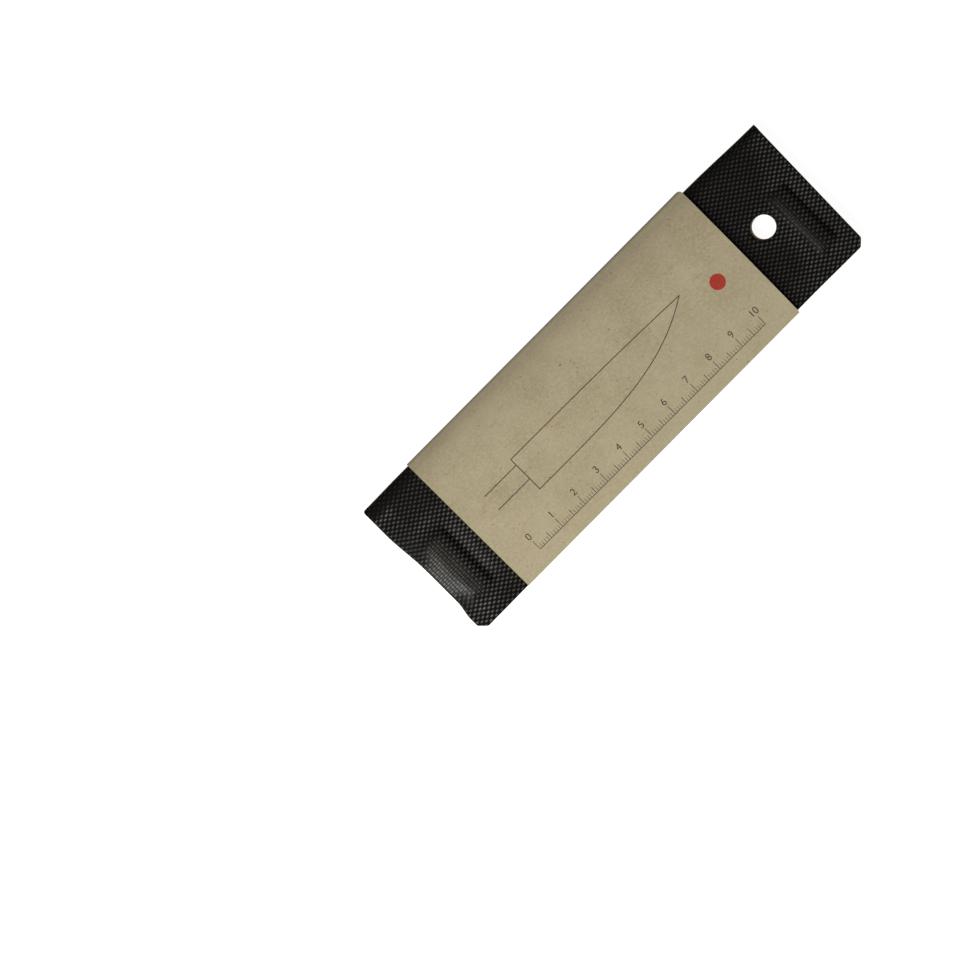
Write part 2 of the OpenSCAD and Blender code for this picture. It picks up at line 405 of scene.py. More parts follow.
def stretch(x, y):
    """How tightly the skin is pulled over a pad's slope and ridge, where both sets of threads show: laid
    only on the sides facing the lamps, it is partly a painted glint of the under-threads.
    """
    dy = abs(y - MAGNET_Y)
    reach = 6.5 + 5 * smooth((x - HANDLE_X - 2) / 6)
    handle = smooth((HANDLE_MAGNET_X + 1.5 - x) / 3) * smooth((reach + 2 - dy) / 5)
    tip = tip_pad(x, y) * smooth((TIP_MAGNET_X + 0.5 - x) / 2)
    return HANDLE_STRETCH_GLINT * handle + TIP_STRETCH_GLINT * smooth(1.2 * tip / MAGNET_RISE)


def pull(x, y):
    """Shares of the skin drawn aslant, where its floats run together into falling or rising lines."""
    near_end = 0.85 * smooth((HANDLE_MAGNET_X - 2.2 - x) / 4)
    falling = near_end * smooth((y - MAGNET_Y - 6) / 5) * smooth((MAGNET_Y + 23 - y) / 10)
    rising = near_end * smooth((MAGNET_Y - 6.5 - y) / 3) * smooth((y - MAGNET_Y + 14) / 3)
    corner = swell(x, HANDLE_X + 4, 2.8) * swell(y, FOLD_Y - 3.4, 1.4)
    return falling, max(rising, corner)


def handle_rubbing(x, y, low):
    """Rubbing of the handle half, with painted light and shade: bright below the pad, across the shoulder
    above it and at the end, painted darker in the corner by the fold.
    """
    inward, down, beside = x - HANDLE_X, FOLD_Y - y, y - MAGNET_Y
    slope_ends = smooth((HANDLE_MAGNET_X - 1.5 - x) / 3) * swell(abs(beside), 10, 2.5)
    on_pad = min(handle_pad(x, y) / MAGNET_RISE, 1)
    level = (1.0 + 0.65 * low - 0.35 * on_pad) * (1 - 0.35 * slope_ends)
    level *= 1 - 0.25 * smooth((15 - down) / 2.5) * smooth((inward - 6) / 2)
    level += 1.1 * swell(down, 16.4, 1.7) * smooth((inward - 4) / 5) * smooth((15.5 - inward) / 3)
    level += 0.9 * swell(down, 5.9, 1.0) * smooth((9 - inward) / 6)
    level += 0.7 * swell(beside, -15.4, 1.8) * swell(inward, 8.5, 3.5)
    level *= 1 - 0.62 * smooth((9 - inward) / 6) * smooth((5.4 - down) / 1.5)
    level *= 1 + 0.4 * smooth((8 - inward) / 3) * smooth((beside - 8) / 4)
    level *= 1 + 0.4 * swell(inward, 5.4, 1.5) * smooth((8 - beside) / 4)
    level *= 1 + 0.25 * swell(beside, 5, 6) * smooth((inward - 12) / 3)
    return level * (1 - 0.45 * smooth((OPEN_Y_HANDLE + 6 - y) / 3) * smooth((inward - 10) / 5))


def tip_rubbing(x, y):
    """Rubbing of the tip half, with painted light and shade: bright beyond a line aslant through the hang
    hole, less over the pad, with a painted shadow beside the card's end.
    """
    off_hole = y - HOLE_Y
    line = CARD_X1 + 16 + (0.45 if off_hole > 0 else 0.28) * off_hole
    level = 0.7 + 0.88 * smooth(0.5 + (x - line) / 6) + 0.12 * smooth((x - TIP_X + 7) / 3)
    level += 0.4 * smooth((OPEN_Y_TIP + 9 - y) / 4) * smooth((CARD_X1 + 12 - x) / 6)
    level += 0.35 * swell(x, line + 1.8, 2) * smooth(-off_hole / 4)
    from_hole = math.hypot(x - HOLE_X, off_hole)
    level += 0.5 * swell(from_hole, HOLE_R + 1.8, 1.3) * smooth(abs(off_hole) / 4)
    # Painted shadow of the card's end on the skin beside it.
    level *= 1 - 0.4 * smooth((CARD_X1 + 4 - x) / 3) * swell(off_hole, 5, 7)
    level *= 1 - 0.4 * smooth(6 * tip_pad(x, y) / MAGNET_RISE)
    beside_pad = smooth((MAGNET_HALF_L + 2 - abs(y - MAGNET_Y)) / 4)
    return level * (1 - 0.55 * swell(x, TIP_MAGNET_X - 2.6, 2) * beside_pad)


def rubbing(x, y):
    """How bright the floats are, from rubbing together with painted light and shade: most towards the open
    side and the ends, least at the fold, where the roll is painted in shade.
    """
    low = smooth((FOLD_Y - 8 - y) / 20)
    to_tip = smooth((x + 45) / 80)
    level = (1 - to_tip) * handle_rubbing(x, y, low) + to_tip * tip_rubbing(x, y)
    return level * (ROLL_PAINTED_SHADE_LEVEL + (1 - ROLL_PAINTED_SHADE_LEVEL) * smooth((ROLL_Y - y) / 3))


def wear(x, y):
    """The weave's rubbing with its painted light and shade, and its stretch, at one place."""
    return rubbing(x, y), stretch(x, y)


def skin_height(x, y):
    """Outer face of a leaf above the middle plane."""
    lift = handle_pad(x, y) + tip_pad(x, y)
    sink = HANDLE_VALLEY * valley(x, y, HANDLE_MAGNET_X)
    sink += TIP_VALLEY * valley(x, y, TIP_MAGNET_X)
    sink += HOLE_DIP * smooth(1 - (math.hypot(x - HOLE_X, y - HOLE_Y) - HOLE_R) / 2)
    edge = min(x - handle_edge(y), tip_edge(y) - x, y - open_edge(x))
    away = smooth(min(edge, ROLL_Y - y) / 5)
    soft = (unevenness(x, y) * away + wrinkle(x, y)) * (1 - smooth(2 * lift / MAGNET_RISE))
    return HALF_Z + lift - sink + soft - edge_drop(edge, EDGE_R)


def leaf_point(u, v):
    """Place of a grid point on a leaf's outer face."""
    x = HANDLE_X + u * (tip_edge(OPEN_Y_TIP) - HANDLE_X)
    y0 = open_edge(x)
    y = y0 + v * (ROLL_Y - y0)
    x = handle_edge(y) + u * (tip_edge(y) - handle_edge(y))
    return x, y


def crowded(t, length, both=True):
    """Grid parameter with its outermost lines drawn close to the edge, or to both edges."""
    edge = 0.7 / length
    cell = 0.05
    if t < cell:
        return edge * (t / cell)
    if both and t > 1 - cell:
        return 1 - edge * ((1 - t) / cell)
    far = 1 - cell if both else 1.0
    span = 1 - 2 * edge if both else 1 - edge
    return edge + span * (t - cell) / (far - cell)


def rim_spot(co):
    """Weave coordinates of a leaf, carried on past its edges and down its sides."""
    x, y = co.x / MM, co.y / MM
    down = max(HALF_Z - abs(co.z / MM - MID_Z), 0)
    to_end, to_tip, to_open = x - handle_edge(y), tip_edge(y) - x, y - open_edge(x)
    nearest = min(to_end, to_tip, to_open)
    if down < 0.3 or nearest > 1:
        return x, y
    if nearest == to_end:
        return x - down, y
    if nearest == to_tip:
        return x + down, y
    return x, y - down


def select_free_edges(piece):
    """Selects the sheet's border apart from the side that joins the fold."""
    select_only(piece)
    bpy.ops.object.mode_set(mode="EDIT")
    bpy.ops.mesh.select_mode(type="EDGE")
    bpy.ops.mesh.select_all(action="DESELECT")
    bpy.ops.mesh.select_non_manifold()
    bpy.ops.object.mode_set(mode="OBJECT")
    points = piece.data.vertices
    joined = {i for i, v in enumerate(points) if v.select and v.co.y > (ROLL_Y - 1) * MM}
    ends = set()
    for i in joined:
        x, y = points[i].co.x / MM, points[i].co.y / MM
        if abs(y + fold_shift(x) - ROLL_Y) < 0.02:
            ends.add(i)
    for edge in piece.data.edges:
        if all(i in ends for i in edge.vertices):
            edge.select = False


def outer_skin(name, front, material):
    """Woven skin of one leaf: a sheet with raised pads, turned down at its three free edges."""
    side = 1 if front else -1
    piece = new_grid(name, 330, 130)

    def place(u, v):
        x, y = leaf_point(crowded(u, 172.0), crowded(v, 50.0, both=False))
        given = fold_shift(x) * smooth((y - ROLL_Y + 8) / 8)
        return x, y - given, MID_Z + side * skin_height(x, y)

    shape(piece, place)
    select_free_edges(piece)
    bpy.ops.object.mode_set(mode="EDIT")
    bpy.ops.mesh.extrude_region_move()
    bpy.ops.object.mode_set(mode="OBJECT")
    rim_z = (MID_Z + side * (HALF_Z - SKIN_T - BOARD_T)) * MM
    for v in piece.data.vertices:
        if v.select:
            v.co.z = rim_z
    edit(piece, bpy.ops.mesh.normals_make_consistent)
    face_towards(piece, 2, front)
    add_uv(piece, "weave", rim_spot)
    add_uv(piece, "wear", lambda co: wear(co.x / MM, co.y / MM))
    add_uv(piece, "pull", lambda co: pull(co.x / MM, co.y / MM))
    thicken(piece, SKIN_T - LAYER_GAP)
    hole_x, hole_r = HOLE_X + HOLE_TIGHT, HOLE_R - HOLE_TIGHT
    drill(piece, hole_x, HOLE_Y, hole_r)
    if front:
        drill(piece, hole_x - HOLE_SLIP_X, HOLE_Y + HOLE_SLIP_Y, hole_r)
    finish_piece(piece, material)
    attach(piece, "front_leaf" if front else "back_leaf")
    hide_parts("front_outer_skin" if front else "back_outer_skin")
    return piece


# The rolled fold

def roll_point(t, depth):
    """Point on half of the rolled fold: t = 0 at the leaf, 1 at the middle plane."""
    r = FOLD_R - depth
    h = HALF_Z - depth
    arc = r * math.pi / 2
    s = t * (arc + h - r)
    if s < arc:
        a = s / r
        return ROLL_Y + r * math.sin(a), h - r + r * math.cos(a), s
    return ROLL_Y + r, h - r - (s - arc), s


def fold_end(y, outer, inset):
    """Handle end of the fold at a place across it, rounded off towards the outermost line."""
    return HANDLE_X - FOLD_END_PAST + inset + edge_drop(FOLD_Y - outer - y, FOLD_CORNER_R)


def fold_half(name, front, outer, inset, material, replaced):
    """Upper or lower half of a layer of the fold; the halves meet at the middle plane."""
    side = 1 if front else -1
    piece = new_grid(name, 172, 26)

    def spot(u, v):
        y, z, s = roll_point(v, outer)
        x0, x1 = fold_end(y, outer, inset), TIP_X - inset
        return x0 + u * (x1 - x0), y, z, s

    def place(u, v):
        x, y, z, _ = spot(u, v)
        return x, y - fold_shift(x), MID_Z + side * z

    def weave_spot(co):
        x, _, _, s = spot(co.x, co.y)
        return x, ROLL_Y + s

    add_uv(piece, "weave", weave_spot)
    # The whole fold is painted in shade.
    add_uv(piece, "wear", lambda co: (ROLL_PAINTED_SHADE_LEVEL, 0.0))
    add_uv(piece, "pull", lambda co: (0.0, 0.0))
    shape(piece, place)
    face_towards(piece, 1, True)
    thicken(piece, SKIN_T - LAYER_GAP)
    finish_piece(piece, material)
    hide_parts(replaced)
    if front:
        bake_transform(piece)
    else:
        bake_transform(piece)
    return piece


# The card jacket

def card_spot(u, y):
    """Place along the card at a share u of its length: it lies a little askew on the guard."""
    across = (y - CARD_OPEN_Y) / (TURN_Y + TURN_W - CARD_OPEN_Y)
    x0 = CARD_X0 - CARD_FOLD_PAST * across
    x1 = CARD_X1 - CARD_OPEN_SHORT * (1 - across) ** 2
    x = x0 + u * (x1 - x0)
    return x, y + CARD_TILT * (x - CARD_X0)


def card_wave(x, y):
    """Slight unevenness of the card, none where it turns."""
    fade = smooth((TURN_Y - y) / 12)
    return 0.05 * fade * (math.sin(x * 0.071 + 0.4) * math.sin(y * 0.11 + 1.0) - 0.4)


def card_height(x, y):
    """Outer face of the card above or below the middle plane."""
    return MID_Z + card_wave(x, y)


def card_panel(name, front, material):
    """One flat panel of the card."""
    side = 1 if front else -1
    piece = new_grid(name, 60, 24)

    def place(u, v):
        x, y = card_spot(u, CARD_OPEN_Y + v * (TURN_Y - CARD_OPEN_Y))
        return x, y, MID_Z + side * card_height(x, y)

    shape(piece, place)
    face_towards(piece, 2, front)
    thicken(piece, CARD_T)
    finish_piece(piece, material)
    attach(piece, "jacket_front" if front else "jacket_back")
    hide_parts("jacket_front_panel" if front else "jacket_back_panel")
    return piece


def turn_point(t):
    """Point on half of the card's turn: t = 0 at the panel, 1 at the middle plane."""
    a = (1 - t) * math.pi / 2
    y = TURN_Y + TURN_W * max(math.cos(a), 0) ** (2 / TURN_N)
    z = MID_Z * max(math.sin(a), 0) ** (2 / TURN_N)
    return y, z


def card_turn_half(name, front, material):
    """Upper or lower half of the card's turn round the fold."""
    side = 1 if front else -1
    piece = new_grid(name, 60, 40)

    def place(u, v):
        y, z = turn_point(v)
        near_tip = max(y - (TURN_Y + TURN_W - TURN_CORNER_R), 0)
        x, tilted = card_spot(u, y)
        x -= u ** 8 * edge_drop(TURN_CORNER_R - near_tip, TURN_CORNER_R)
        return x, tilted, MID_Z + side * z

    shape(piece, place)
    face_towards(piece, 1, True)
    thicken(piece, CARD_T)
    finish_piece(piece, material)
    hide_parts("jacket_spine")
    if front:
        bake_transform(piece)
    else:
        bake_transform(piece)
    return piece


# The print on the card

def lay_on_card(piece, material):
    """Lays a flat drawing on the card's front panel as a thin film of ink."""
    for v in piece.data.vertices:
        x, y = v.co.x, v.co.y
        v.co = (x * MM, y * MM, (MID_Z + card_height(x, y) + INK_T) * MM)
    face_towards(piece, 2, True)
    thicken(piece, INK_T)
    finish_piece(piece, material)
    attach(piece, "jacket_front")
    return piece


def drawn_line(points, width):
    """A flat line through points, in millimetres."""
    last = len(points) - 1
    piece = new_grid("line", last, 1)
    for v in piece.data.vertices:
        i = round(v.co.x * last)
        before, after = points[max(i - 1, 0)], points[min(i + 1, last)]
        dx, dy = after[0] - before[0], after[1] - before[1]
        aside = (v.co.y - 0.5) * width / math.hypot(dx, dy)
        v.co = (points[i][0] - dy * aside, points[i][1] + dx * aside, 0)
    return piece


def joined(name, pieces):
    """Joins pieces into one."""
    deselect_all()
    for piece in pieces:
        piece.select_set(True)
    bpy.context.view_layer.objects.active = pieces[0]
    bpy.ops.object.join()
    whole = bpy.context.active_object
    whole.name = name
    whole.data.name = name
    return whole


def straight(x0, y0, x1, y1, width, steps=1):
    """A straight line, in steps short enough to follow the card."""
    points = [(x0 + (x1 - x0) * i / steps, y0 + (y1 - y0) * i / steps) for i in range(steps + 1)]
    return drawn_line(points, width)


def number(value, x, y, size):
    """A plain number, centred on a place, read from the open side."""
    deselect_all()
    bpy.ops.object.text_add(location=(0, 0, 0))
    text = bpy.context.active_object
    text.data.body = str(value)
    text.data.size = size
    text.data.align_x = "CENTER"
    bpy.ops.object.convert(target="MESH")
    piece = bpy.context.active_object
    for v in piece.data.vertices:
        v.co.x += x
        v.co.y += y
    return piece


def centimetre_rule(material):
    """A rule along the open edge, with plain numbers."""
    x0, y0 = CARD_X0 + 10.75, CARD_OPEN_Y + 5.5
    marks = [straight(x0, y0, x0 + 100, y0, 0.22, 40)]
    for i in range(101):
        tall = 3.4 if i % 10 == 0 else 2.4 if i % 5 == 0 else 1.5
        marks.append(straight(x0 + i, y0, x0 + i, y0 + tall, 0.2 if i % 5 == 0 else 0.13))
    for i in range(11):
        marks.append(number(i, x0 + 10 * i, y0 + 4.2, 3.4))
    return lay_on_card(joined("card_rule", marks), material)


def blade_outline(material):
    """A plain blade in outline with the start of its tang, lying along the card."""
    x0, x1 = CARD_X0 + 24, CARD_X0 + 98
    low, high = CARD_OPEN_Y + 19, CARD_OPEN_Y + 32
    steps = [i / 40 for i in range(41)]
    belly = [(x0 + (x1 - x0) * t, low + (high - low) * t ** 4 * 0.93) for t in steps]
    spine = [(x1 - (x1 - x0) * t, high - 1.0 * (1 - t) ** 3) for t in steps]
    lines = [
        drawn_line(belly, LINE_W),
        drawn_line(spine, LINE_W),
        straight(x0, low - LINE_W / 2, x0, high + LINE_W / 2, LINE_W, 6),
        straight(x0 - 14, high - 2.5, x0, high - 2.5, LINE_W, 6),
        straight(x0 - 14, low + 4.5, x0, low + 4.5, LINE_W, 6),
    ]
    return lay_on_card(joined("card_blade_outline", lines), material)


def round_mark(material):
    """A plain round mark."""
    deselect_all()
    bpy.ops.mesh.primitive_circle_add(
        vertices=64, radius=2.6, fill_type="TRIFAN", location=(0, 0, 0)
    )
    piece = bpy.context.active_object
    piece.name = "card_round_mark"
    piece.data.name = "card_round_mark"
    for v in piece.data.vertices:
        v.co.x += CARD_X1 - 12
        v.co.y += CARD_OPEN_Y + 25.5
    return lay_on_card(piece, material)


# Materials

def new_material(name):
    """A material with its node lists and its shader."""
    material = bpy.data.materials.new(name)
    material.use_nodes = True
    nodes = material.node_tree.nodes
    return material, nodes, material.node_tree.links, nodes["Principled BSDF"]


def math_node(nodes, links, operation, a, b=None, c=None):
    """A math node whose inputs are numbers or linked values."""
    node = nodes.new("ShaderNodeMath")
    node.operation = operation
    for socket, value in zip(node.inputs, (a, b, c)):
        if value is None:
            continue
        if isinstance(value, (int, float)):
            socket.default_value = value
        else:
            links.new(value, socket)
    return node.outputs[0]


def weave_group():
    """Plain weave, from coordinates in millimetres.

    Height is for the bump. Crown and Crossing are the floats of the two sets of threads. Falling and
    Rising are the lines into which the floats run where the skin is drawn aslant.
    """
    group = bpy.data.node_groups.new("plain_weave", "ShaderNodeTree")
    face = group.interface
    face.new_socket("Coordinates", in_out="INPUT", socket_type="NodeSocketVector")
    face.new_socket("Pitch X", in_out="INPUT", socket_type="NodeSocketFloat").default_value = WEAVE_X
    face.new_socket("Pitch Y", in_out="INPUT", socket_type="NodeSocketFloat").default_value = WEAVE_Y
    for name in ("Height", "Crown", "Crossing", "Falling", "Rising"):
        face.new_socket(name, in_out="OUTPUT", socket_type="NodeSocketFloat")
    nodes, links = group.nodes, group.links
    given = nodes.new("NodeGroupInput")
    out = nodes.new("NodeGroupOutput")
    wobble = nodes.new("ShaderNodeTexNoise")
    wobble.inputs["Scale"].default_value = 0.35
    links.new(given.outputs["Coordinates"], wobble.inputs["Vector"])
    shift = nodes.new("ShaderNodeVectorMath")
    shift.operation = "MULTIPLY_ADD"
    links.new(wobble.outputs["Color"], shift.inputs[0])
    shift.inputs[1].default_value = (0.3, 0.3, 0)
    links.new(given.outputs["Coordinates"], shift.inputs[2])
    split = nodes.new("ShaderNodeSeparateXYZ")
    links.new(shift.outputs[0], split.inputs[0])
    x = math_node(nodes, links, "DIVIDE", split.outputs["X"], given.outputs["Pitch X"])
    y = math_node(nodes, links, "DIVIDE", split.outputs["Y"], given.outputs["Pitch Y"])
    wave_x = math_node(nodes, links, "SINE", math_node(nodes, links, "MULTIPLY", x, math.pi))
    wave_y = math_node(nodes, links, "SINE", math_node(nodes, links, "MULTIPLY", y, math.pi))
    both = math_node(nodes, links, "MULTIPLY", wave_x, wave_y)
    over = math_node(nodes, links, "GREATER_THAN", both, 0.0)
    size_x = math_node(nodes, links, "ABSOLUTE", wave_x)
    size_y = math_node(nodes, links, "ABSOLUTE", wave_y)
    float_x = math_node(nodes, links, "MULTIPLY", math_node(nodes, links, "POWER", size_x, 0.55),
                        math_node(nodes, links, "POWER", size_y, 1.1))
    float_y = math_node(nodes, links, "MULTIPLY", math_node(nodes, links, "POWER", size_y, 0.6),
                        math_node(nodes, links, "POWER", size_x, 1.2))
    warp = math_node(nodes, links, "MULTIPLY", float_x, over)
    under = math_node(nodes, links, "SUBTRACT", 1.0, over)
    crossing = math_node(nodes, links, "MULTIPLY", float_y, under)
    height = math_node(nodes, links, "MULTIPLY_ADD", crossing, 0.12, warp)
    for name, way, half in (("Falling", "ADD", -0.5), ("Rising", "SUBTRACT", 0.5)):
        turns = math_node(nodes, links, "MULTIPLY", math_node(nodes, links, way, x, y), math.pi)
        wave = math_node(nodes, links, "COSINE", turns)
        links.new(math_node(nodes, links, "MULTIPLY_ADD", wave, half, 0.5), out.inputs[name])
    links.new(crossing, out.inputs["Crossing"])
    links.new(height, out.inputs["Height"])
    links.new(math_node(nodes, links, "POWER", warp, 1.05), out.inputs["Crown"])
    return group


def woven_material(weave):
    """Black coated weave, near black in its gaps and greyer on its floats, as they are rubbed and as light
    and shade are painted on them.
    """
    material, nodes, links, shader = new_material("black_woven_skin")
    where = nodes.new("ShaderNodeUVMap")
    where.uv_map = "weave"
    pattern = nodes.new("ShaderNodeGroup")
    pattern.node_tree = weave
    links.new(where.outputs[0], pattern.inputs["Coordinates"])
    uneven = nodes.new("ShaderNodeTexNoise")
    uneven.inputs["Scale"].default_value = 0.09
    uneven.inputs["Detail"].default_value = 3.0
    links.new(where.outputs[0], uneven.inputs["Vector"])
    grain = nodes.new("ShaderNodeTexNoise")
    grain.inputs["Scale"].default_value = 1.6
    grain.inputs["Detail"].default_value = 2.0
    links.new(where.outputs[0], grain.inputs["Vector"])
    wear = nodes.new("ShaderNodeUVMap")
    wear.uv_map = "wear"
    split = nodes.new("ShaderNodeSeparateXYZ")
    links.new(wear.outputs[0], split.inputs[0])
    rubbed_and_lit, stretched_and_glinting = split.outputs["X"], split.outputs["Y"]
    # Under-threads shown as floats on the slopes facing the lamps: partly stretched skin, partly a painted
    # glint.
    crown = math_node(nodes, links, "MAXIMUM", pattern.outputs["Crown"],
                      math_node(nodes, links, "MULTIPLY", pattern.outputs["Crossing"], stretched_and_glinting))
    drawn = nodes.new("ShaderNodeUVMap")
    drawn.uv_map = "pull"
    shares = nodes.new("ShaderNodeSeparateXYZ")
    links.new(drawn.outputs[0], shares.inputs[0])
    falling = math_node(nodes, links, "MULTIPLY", pattern.outputs["Falling"], shares.outputs["X"])
    rising = math_node(nodes, links, "MULTIPLY", pattern.outputs["Rising"], shares.outputs["Y"])
    fullness = math_node(nodes, links, "MULTIPLY_ADD", crown, 0.3, 0.25)
    aslant = math_node(nodes, links, "MAXIMUM", falling, rising)
    aslant = math_node(nodes, links, "MULTIPLY", aslant, fullness)
    pulled = math_node(nodes, links, "ADD", shares.outputs["X"], shares.outputs["Y"])
    left = math_node(nodes, links, "MULTIPLY_ADD", pulled, -0.5, 1.0)
    crown = math_node(nodes, links, "MULTIPLY", crown, left)
    crown = math_node(nodes, links, "MAXIMUM", crown, aslant)
    # The floats' grey follows their rubbing together with the painted light and shade carried in the same
    # values.
    worn = math_node(nodes, links, "MULTIPLY", rubbed_and_lit,
                     math_node(nodes, links, "MULTIPLY_ADD", uneven.outputs["Fac"], 0.9, 0.15))
    spotty = math_node(nodes, links, "MULTIPLY_ADD", grain.outputs["Fac"], 0.8, 0.6)
    strength = math_node(nodes, links, "MULTIPLY", crown, math_node(nodes, links, "MULTIPLY", worn, spotty))
    ramp = nodes.new("ShaderNodeValToRGB")
    ramp.color_ramp.elements[0].color = (0.0026, 0.0022, 0.0017, 1)
    ramp.color_ramp.elements[1].color = (0.150, 0.145, 0.124, 1)
    links.new(math_node(nodes, links, "MULTIPLY", strength, 0.55), ramp.inputs["Fac"])
    links.new(ramp.outputs["Color"], shader.inputs["Base Color"])
    links.new(math_node(nodes, links, "MULTIPLY_ADD", crown, -0.16, 0.76), shader.inputs["Roughness"])
    gloss = math_node(nodes, links, "MULTIPLY_ADD", crown,
                      math_node(nodes, links, "MULTIPLY", spotty, 0.15), 0.02)
    gloss = math_node(nodes, links, "MULTIPLY", gloss, rubbed_and_lit)
    links.new(gloss, shader.inputs["Coat Weight"])
    shader.inputs["Coat Roughness"].default_value = 0.3
    bump = nodes.new("ShaderNodeBump")
    bump.inputs["Strength"].default_value = 1.0
    bump.inputs["Distance"].default_value = 0.00011
    links.new(pattern.outputs["Height"], bump.inputs["Height"])
    links.new(bump.outputs["Normal"], shader.inputs["Normal"])
    shader.inputs["Specular IOR Level"].default_value = 0.06
    return material


def card_material():
    """Unbleached card with darker and lighter specks, fibres and a soft mottle, with painted shade along
    its turn and painted light towards the open edge and along the turn's outermost line.
    """
    material, nodes, links, shader = new_material("kraft_card")
    where = nodes.new("ShaderNodeTexCoord")

    def noise(scale, detail, stretch=None):
        node = nodes.new("ShaderNodeTexNoise")
        node.inputs["Scale"].default_value = scale
        node.inputs["Detail"].default_value = detail
        if stretch:
            turn = nodes.new("ShaderNodeMapping")
            turn.inputs["Scale"].default_value = stretch
            links.new(where.outputs["Object"], turn.inputs["Vector"])
            links.new(turn.outputs[0], node.inputs["Vector"])
        else:
            links.new(where.outputs["Object"], node.inputs["Vector"])
        return node.outputs["Fac"]

    def mix(fac, a, b):
        node = nodes.new("ShaderNodeMix")
        node.data_type = "RGBA"
        links.new(fac, node.inputs["Factor"])
        for socket, value in ((node.inputs[6], a), (node.inputs[7], b)):
            if isinstance(value, tuple):
                socket.default_value = value
            else:
                links.new(value, socket)
        return node.outputs[2]

    def band(value, low, high):
        node = nodes.new("ShaderNodeMapRange")
        node.inputs["From Min"].default_value = low
        node.inputs["From Max"].default_value = high
        links.new(value, node.inputs["Value"])
        return node.outputs["Result"]

    mottle = noise(90, 4)
    grain = noise(1400, 3)
    specks = noise(1100, 2)
    fibres = noise(420, 2, (0.5, 1.5, 1.0))
    colour = mix(band(mottle, 0.3, 0.7), (0.331, 0.277, 0.167, 1), (0.402, 0.342, 0.217, 1))
    colour = mix(band(grain, 0.4, 0.95), colour, (0.49, 0.42, 0.285, 1))
    colour = mix(band(fibres, 0.61, 0.84), colour, (0.36, 0.255, 0.135, 1))
    colour = mix(band(specks, 0.685, 0.755), colour, (0.19, 0.12, 0.06, 1))
    split = nodes.new("ShaderNodeSeparateXYZ")
    links.new(where.outputs["Object"], split.inputs[0])
    # Painted shade: the card is painted darker along its turn round the fold, where it curves away from the
    # light.
    turning = band(split.outputs["Y"], (TURN_Y - 9) * MM, (TURN_Y + 5) * MM)
    turned = band(split.outputs["Y"], (TURN_Y + 8) * MM, (TURN_Y + 5.5) * MM)
    painted_turn_shade = math_node(nodes, links, "MULTIPLY", turning, turned)
    painted_turn_shade = math_node(nodes, links, "MULTIPLY", painted_turn_shade, 0.34)
    colour = mix(painted_turn_shade, colour, (0.22, 0.185, 0.115, 1))
    # Painted light: the card is painted lighter towards its open edge, the side the lamps light most.
    painted_open_side_light = math_node(nodes, links, "MULTIPLY", band(split.outputs["Y"], 0.0, CARD_OPEN_Y * MM), 0.3)
    colour = mix(painted_open_side_light, colour, (0.50, 0.42, 0.275, 1))
    card_y = TURN_Y + TURN_W
    # Painted light along the outermost line of the card's turn.
    outermost = band(split.outputs["Y"], (card_y - 1.8) * MM, (card_y - 0.5) * MM)
    outermost = math_node(nodes, links, "MULTIPLY", outermost, 0.45)
    colour = mix(outermost, colour, (0.60, 0.50, 0.34, 1))
    links.new(colour, shader.inputs["Base Color"])
    shader.inputs["Roughness"].default_value = 0.9
    shader.inputs["Specular IOR Level"].default_value = 0.25
    bump = nodes.new("ShaderNodeBump")
    bump.inputs["Strength"].default_value = 0.25
    bump.inputs["Distance"].default_value = 0.00005
    links.new(grain, bump.inputs["Height"])
    links.new(bump.outputs["Normal"], shader.inputs["Normal"])
    return material


def felt_material():
    """Dark grey felt: matted short hairs in a soft mottle."""
    material, nodes, links, shader = new_material("grey_felt")
    where = nodes.new("ShaderNodeTexCoord")
    hairs = nodes.new("ShaderNodeTexNoise")
    hairs.inputs["Scale"].default_value = 1800
    hairs.inputs["Detail"].default_value = 4
    hairs.inputs["Distortion"].default_value = 1.2
    links.new(where.outputs["Object"], hairs.inputs["Vector"])
    mottle = nodes.new("ShaderNodeTexNoise")
    mottle.inputs["Scale"].default_value = 160
    links.new(where.outputs["Object"], mottle.inputs["Vector"])
    both = math_node(nodes, links, "MULTIPLY", hairs.outputs["Fac"], mottle.outputs["Fac"])
    ramp = nodes.new("ShaderNodeValToRGB")
    ramp.color_ramp.elements[0].position = 0.12
    ramp.color_ramp.elements[0].color = (0.022, 0.022, 0.024, 1)
    ramp.color_ramp.elements[1].position = 0.45
    ramp.color_ramp.elements[1].color = (0.085, 0.085, 0.09, 1)
    links.new(both, ramp.inputs["Fac"])
    links.new(ramp.outputs["Color"], shader.inputs["Base Color"])
    shader.inputs["Roughness"].default_value = 0.95
    shader.inputs["Sheen Weight"].default_value = 0.3
    bump = nodes.new("ShaderNodeBump")
    bump.inputs["Strength"].default_value = 0.6
    bump.inputs["Distance"].default_value = 0.00012
    links.new(hairs.outputs["Fac"], bump.inputs["Height"])
    links.new(bump.outputs["Normal"], shader.inputs["Normal"])
    return material


def board_material():
    """Dark brown pressed fibre board."""
    material, nodes, links, shader = new_material("fibre_board")
    where = nodes.new("ShaderNodeTexCoord")
    fibres = nodes.new("ShaderNodeTexNoise")
    fibres.inputs["Scale"].default_value = 900
    fibres.inputs["Detail"].default_value = 4
    links.new(where.outputs["Object"], fibres.inputs["Vector"])
    ramp = nodes.new("ShaderNodeValToRGB")
    ramp.color_ramp.elements[0].position = 0.3
    ramp.color_ramp.elements[0].color = (0.068, 0.039, 0.02, 1)
    ramp.color_ramp.elements[1].position = 0.7
    ramp.color_ramp.elements[1].color = (0.144, 0.094, 0.052, 1)
    links.new(fibres.outputs["Fac"], ramp.inputs["Fac"])
    links.new(ramp.outputs["Color"], shader.inputs["Base Color"])
    shader.inputs["Roughness"].default_value = 0.85
    bump = nodes.new("ShaderNodeBump")
    bump.inputs["Strength"].default_value = 0.4
    bump.inputs["Distance"].default_value = 0.00008
    links.new(fibres.outputs["Fac"], bump.inputs["Height"])
    links.new(bump.outputs["Normal"], shader.inputs["Normal"])
    return material


